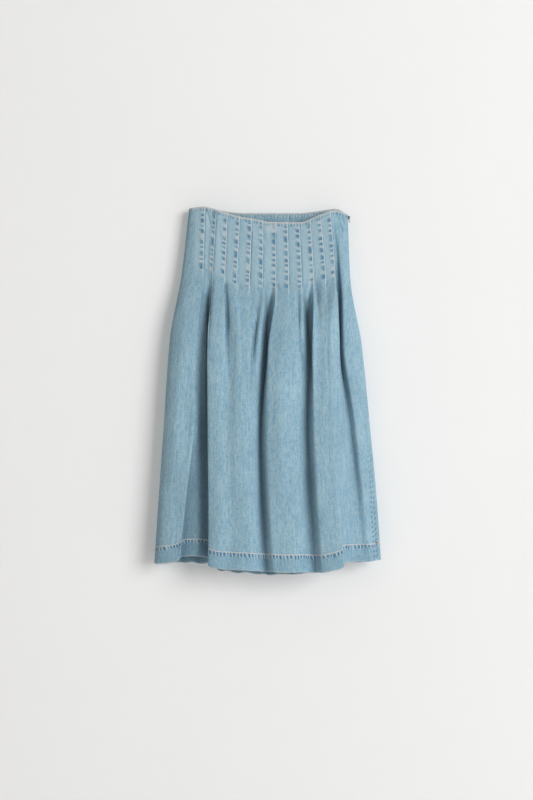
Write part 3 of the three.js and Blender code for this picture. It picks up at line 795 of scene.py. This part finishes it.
rows = np.arange(len(cloths["front"].levels))
levels = cloths["front"].levels
hemRows = rows[levels >= 1 - clothSizes["hemDepth"] / clothSizes["length"] - 1e-6]
facingRows = rows[levels <= clothSizes["facingDepth"] / clothSizes["length"] + 1e-6]
layCloth("frontCloth", rows, 0, denim, "denim", turnTop=True, turnBottom=True)
layCloth("backCloth", rows, 0, denim, "denim", turnTop=True, turnBottom=True)
layCloth("frontHem", hemRows, nextLayer, turnedDenim, "denim_inside", turned=True)
layCloth("backHem", hemRows, nextLayer, turnedDenim, "denim_inside", turned=True)


zipSizes = {"tapeReach": 12, "tapeThickness": 0.8, "clear": 0.8, "tapePoints": 7}
facingStarts = cloths["back"].across[facingRows].min(axis=0) > zipSizes["tapeReach"] + zipSizes["clear"]
facingColumns = np.arange(int(np.argmax(facingStarts)), len(facingStarts))
layCloth("backFacing", facingRows, nextLayer, turnedDenim, "denim_inside", columns=facingColumns, turned=True)
print("panels, hems and facing made")


def tapeMaterial():
    s = Shader("wovenTape")
    _, y, z = s.place()
    rib = z.wave(1 / 0.0009)
    bone = (z + (y * 260).wave(1.0) * 0.0006).wave(1 / 0.0016)
    patchy = s.noise(y / 0.004, z / 0.01, detail=3.0)
    base = s.mix((bone * 0.25 + patchy).smooth(0.2, 0.9), colour(72, 96, 116), colour(104, 130, 148))
    sockets = {"Base Color": base, "Roughness": 0.82 + patchy * 0.12, "Sheen Weight": 0.1}
    return s.finish(sockets, bone * 0.5 + rib * 0.3, 0.6, 0.0003)


def zipTape():
    # follows both edges of the right seam on the inside, and crosses the opening between them
    s, reach = zipSizes, zipSizes["tapeReach"]
    down = rows[levels <= clothSizes["zipLength"] / clothSizes["length"] + 1e-3]
    front, back = cloths["front"], cloths["back"]
    shares = np.linspace(0, 1, s["tapePoints"])

    def besideSeam(row, frontField, backField):
        places = front.across[row, -1] - reach * (1 - shares), reach * shares
        halves = zip((front, back), places, (frontField, backField))
        return [
            [np.interp(place, cloth.across[row], field[row, :, k]) for k in range(3)]
            for cloth, at, field in halves for place in at
        ]

    points = np.array([besideSeam(row, front.points, back.points) for row in down])
    normals = np.array([besideSeam(row, front.normals, back.normals) for row in down])
    normals /= np.linalg.norm(normals, axis=-1, keepdims=True)
    half = s["tapeThickness"] / 2
    vertices, faces, _ = wallShell(points, normals, half - nextLayer, -half - nextLayer)
    piece = linkMesh("zipTape", vertices, faces)
    width = float(np.linalg.norm(np.diff(points, axis=1), axis=-1).sum(axis=1).max()) * mm
    length = float(np.linalg.norm(np.diff(points[:, 0], axis=0), axis=-1).sum()) * mm
    sewOn(piece, "zip_tape", tapeMaterial(), area(points))


zipTape()


class Tree:  # a Geometry Nodes tree with named inputs
    def __init__(self, name, inputs):
        self.tree = bpy.data.node_groups.new(name, "GeometryNodeTree")
        face = self.tree.interface
        face.new_socket(name="Geometry", in_out="INPUT", socket_type="NodeSocketGeometry")
        self.sockets = {"Geometry": None}
        for label, (kind, value) in inputs.items():
            socket = face.new_socket(name=label, in_out="INPUT", socket_type="NodeSocket" + kind)
            if value is not None:
                socket.default_value = value
            self.sockets[label] = socket.identifier
        face.new_socket(name="Geometry", in_out="OUTPUT", socket_type="NodeSocketGeometry")
        self.given = self.tree.nodes.new("NodeGroupInput")

    def node(self, kind, inputs=None, output=0, **settings):
        return addNode(self.tree, kind, inputs or {}, output, settings)

    def sum(self, operation, first, second):
        return self.node("ShaderNodeMath", {0: first, 1: second}, operation=operation)

    def spaced(self):  # points along the guide line, a pitch apart
        line = self.node("GeometryNodeMeshToCurve", {0: self.given.outputs["Geometry"]})
        inputs = {"Curve": line, "Length": self.given.outputs["Pitch"]}
        return self.node("GeometryNodeResampleCurve", inputs, mode="LENGTH")

    def end(self, geometry):  # instances are made real and get their material
        real = self.node("GeometryNodeRealizeInstances", {0: geometry})
        inputs = {"Geometry": real, "Material": self.given.outputs["Material"]}
        painted = self.node("GeometryNodeSetMaterial", inputs)
        self.node("NodeGroupOutput", {0: painted})
        return self

    def grow(self, name, paths, settings):
        # runs the tree on lines through points, and adds the result to the skirt as a plain mesh object
        points = [p for path in paths for p in path]
        starts = np.cumsum([0, *(len(path) for path in paths)])
        edges = [(i, i + 1) for low, high in zip(starts[:-1], starts[1:]) for i in range(low, high - 1)]
        guide = bpy.data.meshes.new(name + "Path")
        guide.from_pydata([tuple(p * mm) for p in np.array(points)], edges, [])
        holder = linked(name + "Path", guide)
        modifier = holder.modifiers.new("grow", "NODES")
        modifier.node_group = self.tree
        for label, value in settings.items():
            modifier[self.sockets[label]] = value
        graph = bpy.context.evaluated_depsgraph_get()
        mesh = bpy.data.meshes.new_from_object(holder.evaluated_get(graph))
        mesh.name = name
        holder.modifiers.remove(modifier)
        bpy.data.objects.remove(holder)
        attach(linked(name, mesh), "skirt")
        print(name, "grown:", len(mesh.polygons), "faces")


def stitchTree():
    # short threads laid end to end along a line, tapering towards their ends
    s = stitchSizes
    sizes = {label: ("Float", s[label.lower()]) for label in ("Pitch", "Length", "Radius")}
    tree = Tree("stitchRow", {**sizes, "Seed": ("Int", s["seed"]), "Material": ("Material", None)})
    given = tree.given.outputs
    thread = tree.node("GeometryNodeMeshCylinder", {
        "Vertices": 5, "Side Segments": 4, "Radius": given["Radius"], "Depth": given["Length"],
    })
    where = tree.node("GeometryNodeInputPosition")
    parts = tree.node("ShaderNodeSeparateXYZ", {0: where}).node.outputs
    share = tree.sum("DIVIDE", parts[2], given["Length"])
    square = tree.sum("MULTIPLY", share, share)
    thin = tree.sum("SUBTRACT", 1.0, tree.sum("MULTIPLY", square, s["taper"]))
    shape = tree.node("ShaderNodeCombineXYZ", {
        0: tree.sum("MULTIPLY", parts[0], thin), 1: tree.sum("MULTIPLY", parts[1], thin), 2: parts[2],
    })
    rounded = tree.node("GeometryNodeSetPosition", {"Geometry": thread, "Position": shape})
    soft = tree.node("GeometryNodeSetShadeSmooth", {"Geometry": rounded})
    way = tree.node("GeometryNodeInputTangent")
    wobble = tree.node("FunctionNodeRandomValue", {
        0: (-s["wobble"],) * 3, 1: (s["wobble"],) * 3, "Seed": given["Seed"],
    }, data_type="FLOAT_VECTOR")
    leaning = tree.node("ShaderNodeVectorMath", {0: way, 1: wobble}, operation="ADD")
    turn = tree.node("FunctionNodeAlignRotationToVector", {"Vector": leaning}, axis="Z")
    sizes = {2: s["smallest"], 3: s["largest"], "Seed": given["Seed"]}
    size = tree.node("FunctionNodeRandomValue", sizes, 1, data_type="FLOAT")
    rowOf = tree.node("GeometryNodeInstanceOnPoints", {
        "Points": tree.spaced(), "Instance": soft, "Rotation": turn, "Scale": size,
    })
    return tree.end(rowOf)


def threadMaterial(name, light, dark):
    s = Shader(name)
    x, y, z = s.place()
    ply = (x * 0.6 + z + y * 0.5).wave(1 / 0.0007)
    faded = s.cloud(0.02, 3.0)
    base = s.mix((faded + ply * 0.08).smooth(0.3, 0.7), dark, light)
    sockets = {"Base Color": base, "Roughness": 0.7 + faded * 0.15, "Sheen Weight": 0.15}
    return s.finish(sockets, ply, 0.5, 0.0002)


stitchSizes = {
    "pitch": 0.0033, "length": 0.0028, "radius": 0.00034, "lift": 0.15, "seed": 4,
    "wobble": 0.16, "smallest": 0.86, "largest": 1.1, "taper": 2.6,
    "tuckEdge": 1.7, "hemRow": 36.6, "waistRow": 3.4, "facingRow": 30, "zipEdge": 6.5,
}


def rowPath(cloth, depthOf):
    # a line across the cloth, so far from the waist (positive) or from the hem (negative)
    reach = cloth.down if depthOf > 0 else -cloth.up
    path = []
    for column in range(cloth.points.shape[1]):
        row = np.interp(depthOf, reach[:, column], np.arange(len(cloth.levels)))
        i = min(int(row), len(cloth.levels) - 2)
        path.append(cloth.above((i, column), (i + 1, column), row - i, stitchSizes["lift"]))
    return path


def stitchPaths():
    s, paths = stitchSizes, []
    for cloth in cloths.values():
        for column, end in zip(cloth.tuckColumns, cloth.side["tuckEnds"]):
            inside = [row for row in rows if 2.5 < cloth.down[row, column] < end]
            beside = cloth.across[:, column] - s["tuckEdge"]
            paths.append([cloth.spot(row, beside[row], s["lift"]) for row in inside])
        paths.append(rowPath(cloth, -s["hemRow"]))
        paths.append(rowPath(cloth, s["waistRow"]))
    back = cloths["back"]
    paths.append(rowPath(back, s["facingRow"]))
    zipRows = [row for row in rows if 3 < clothSizes["length"] * levels[row] < clothSizes["zipLength"]]
    front = cloths["front"]
    paths.append([front.spot(row, front.across[row, -1] - s["zipEdge"], s["lift"]) for row in zipRows])
    paths.append([back.spot(row, s["zipEdge"], s["lift"]) for row in zipRows])
    return paths


stitches = stitchTree()


def sewRow(name, paths, sizes, thread):
    settings = {label: sizes[label.lower()] for label in ("Pitch", "Length", "Radius", "Seed")}
    stitches.grow(name, paths, {**settings, "Material": thread})


creamThread = threadMaterial("creamThread", colour(226, 220, 208), colour(186, 184, 178))
sewRow("creamStitches", stitchPaths(), stitchSizes, creamThread)

# Bar tack where the hem meets the right seam: threads side by side over the seam.
tackSizes = {
    "height": 37.4, "from": 1.5, "reach": 9, "rise": 2.4, "turns": 15, "column": 2, "lift": 0.35,
    "pitch": 0.0011, "length": 0.0016, "radius": 0.00032, "seed": 9,
}


def tackPath():
    back, t = cloths["back"], tackSizes
    path = []
    for k in range(t["turns"] * 2 + 1):
        across = t["from"] + t["reach"] * k / (t["turns"] * 2)
        up = t["height"] + t["rise"] * (k % 2)
        row = int(np.argmin(np.abs(back.up[:, t["column"]] - up)))
        point = back.spot(row, across, t["lift"])
        point[2] += up - back.up[row, t["column"]]
        path.append(point)
    return path


rustThread = threadMaterial("rustThread", colour(178, 138, 88), colour(140, 102, 60))
sewRow("hemTack", [tackPath()], tackSizes, rustThread)


toothSizes = {"Pitch": 0.00125, "Width": 0.0044, "Radius": 0.0005, "Lean": 0.16}
coilSizes = {"top": -24.8, "bottom": -187, "gap": 0.02, "points": 40}


def toothTree():
    # the coil of the closed zip: rounded bars across it, each leaning the other way from the last
    sizes = {label: ("Float", value) for label, value in toothSizes.items()}
    tree = Tree("zipCoil", {**sizes, "Material": ("Material", None)})
    given = tree.given.outputs
    bar = tree.node("GeometryNodeMeshCylinder", {
        "Vertices": 6, "Side Segments": 2, "Radius": given["Radius"], "Depth": given["Width"],
    })
    soft = tree.node("GeometryNodeSetShadeSmooth", {"Geometry": bar})
    index = tree.node("GeometryNodeInputIndex")
    odd = tree.sum("MODULO", index, 2.0)
    lean = tree.sum("MULTIPLY", tree.sum("SUBTRACT", odd, 0.5), given["Lean"])
    turn = tree.node("ShaderNodeCombineXYZ", {0: tree.sum("ADD", lean, math.pi / 2)})
    bars = tree.node("GeometryNodeInstanceOnPoints", {
        "Points": tree.spaced(), "Instance": soft, "Rotation": turn,
    })
    return tree.end(bars)


def coilPath():
    seam = seams["right"]
    waist, hem = frontWaist[1][-1], seam["line"][3]
    depth = nextLayer - zipSizes["tapeThickness"] / 2 - toothSizes["Radius"] / mm - coilSizes["gap"]
    first, last = ((waist - z) / (waist - hem) for z in (coilSizes["top"], coilSizes["bottom"]))
    path = []
    for v in np.linspace(first, last, coilSizes["points"]):
        centre, along = seamFrame(seam, v)
        path.append((centre[0] + along[1] * depth, -centre[1], waist + (hem - waist) * v))
    return np.array(path)


def metalMaterial(name, bright, dull, rough):
    s = Shader(name)
    x, y, z = s.place()
    cloud = s.cloud(0.003, 4.0, 0.6)
    brushed = s.noise(x / 0.0008, y / 0.0003, z / 0.006, 3.0, 0.7)
    pits = s.cloud(0.0005)
    base = s.mix((cloud + brushed * 0.4).smooth(0.4, 1.0), dull, bright)
    sockets = {"Base Color": base, "Metallic": 0.8 + cloud * 0.2, "Roughness": rough + (brushed - 0.5) * 0.25}
    return s.finish(sockets, brushed * 0.5 + pits * 0.4, 0.35, 0.0002)


coilMetal = metalMaterial("coilMetal", colour(96, 94, 90), colour(52, 52, 52), 0.42)
toothTree().grow("zipCoil", [coilPath()], {**toothSizes, "Material": coilMetal})
zipMetal = metalMaterial("darkZipMetal", colour(98, 94, 88), colour(44, 43, 42), 0.38)
for node in ("zip_slider", "zip_pull"):
    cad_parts[node].data.materials.clear()
    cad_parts[node].data.materials.append(zipMetal)
print("zip finished")


# Scene: camera, light, wall and floor.
viewSizes = {
    "camera": (-0.0057, -2.6, -0.436), "lens": 51.15, "floorHeight": -1.62, "floorRadius": 7.0,
    "wallPlace": 0.0195, "wallHalfWidth": 1.9, "wallTop": 1.5, "aim": (0, 0, -0.4),
    "ambient": (1.0, 0.955, 0.895, 1), "ambientStrength": 0.38,
    "paintDull": (0.845, 0.845, 0.845, 1), "paintBright": (0.865, 0.865, 0.865, 1), "floorCorners": 64,
}
camera = linked("camera", bpy.data.cameras.new("camera"))
camera.location = viewSizes["camera"]
camera.rotation_euler = (math.pi / 2, 0, 0)
camera.data.lens = viewSizes["lens"]
bpy.context.scene.camera = camera

lights = {
    "key": {"place": (3.75, -4.35, 0.9), "size": 2.8, "power": 233, "tint": (0.955, 0.98, 1.0)},
    "fill": {"place": (-3.4, -4.6, 0.6), "size": 3.4, "power": 26, "tint": (1.0, 0.96, 0.90)},
    "rear": {"place": (2.2, 4.4, 1.6), "size": 3.0, "power": 190, "tint": (1.0, 1.0, 1.0)},
}
for name, entry in lights.items():
    lamp = bpy.data.lights.new(name, "AREA")
    lamp.size, lamp.energy, lamp.color = entry["size"], entry["power"], entry["tint"]
    holder = linked(name, lamp)
    holder.location = entry["place"]
    aim = Vector(viewSizes["aim"]) - holder.location
    holder.rotation_euler = aim.to_track_quat("-Z", "Y").to_euler()

world = bpy.data.worlds.new("studio")
world.use_nodes = True
background = world.node_tree.nodes["Background"].inputs
background["Color"].default_value = viewSizes["ambient"]
background["Strength"].default_value = viewSizes["ambientStrength"]
bpy.context.scene.world = world
bpy.context.scene.view_settings.view_transform = "Standard"


def stagePiece(name, corners, material):
    mesh = bpy.data.meshes.new(name)
    mesh.from_pydata(corners, [], [range(len(corners))])
    mesh.materials.append(material)
    piece = linked(name, mesh)
    return piece


def plaster(name):  # pale paint with a faint unevenness
    s = Shader(name)
    return s, s.mix(s.cloud(0.6, 3.0), viewSizes["paintDull"], viewSizes["paintBright"])


floorShader, floorPaint = plaster("paleFloor")
floorShader.finish({"Base Color": floorPaint, "Roughness": 0.9})
radius, height = viewSizes["floorRadius"], viewSizes["floorHeight"]
angles = np.linspace(0, 2 * math.pi, viewSizes["floorCorners"], endpoint=False)
ring = [(math.cos(a) * radius, math.sin(a) * radius, height) for a in angles]
stagePiece("floor", ring, floorShader.material)

# The wall behind the skirt shows from its front only, and lets light through from behind.
wallShader, wallPaint = plaster("paleWall")
paint = wallShader.node("ShaderNodeBsdfDiffuse", {"Color": wallPaint, "Roughness": 0.6})
clear = wallShader.node("ShaderNodeBsdfTransparent")
behind = wallShader.node("ShaderNodeNewGeometry", output=6)
seen = wallShader.node("ShaderNodeMixShader", {0: behind, 1: paint, 2: clear})
wallShader.node("ShaderNodeOutputMaterial", {"Surface": seen})
halfWidth, top, place = viewSizes["wallHalfWidth"], viewSizes["wallTop"], viewSizes["wallPlace"]
corners = ((-1, height), (1, height), (1, top), (-1, top))
wall = stagePiece("wall", [(side * halfWidth, place, z) for side, z in corners], wallShader.material)
wall.visible_shadow = wall.visible_diffuse = wall.visible_glossy = False
print("stage set")
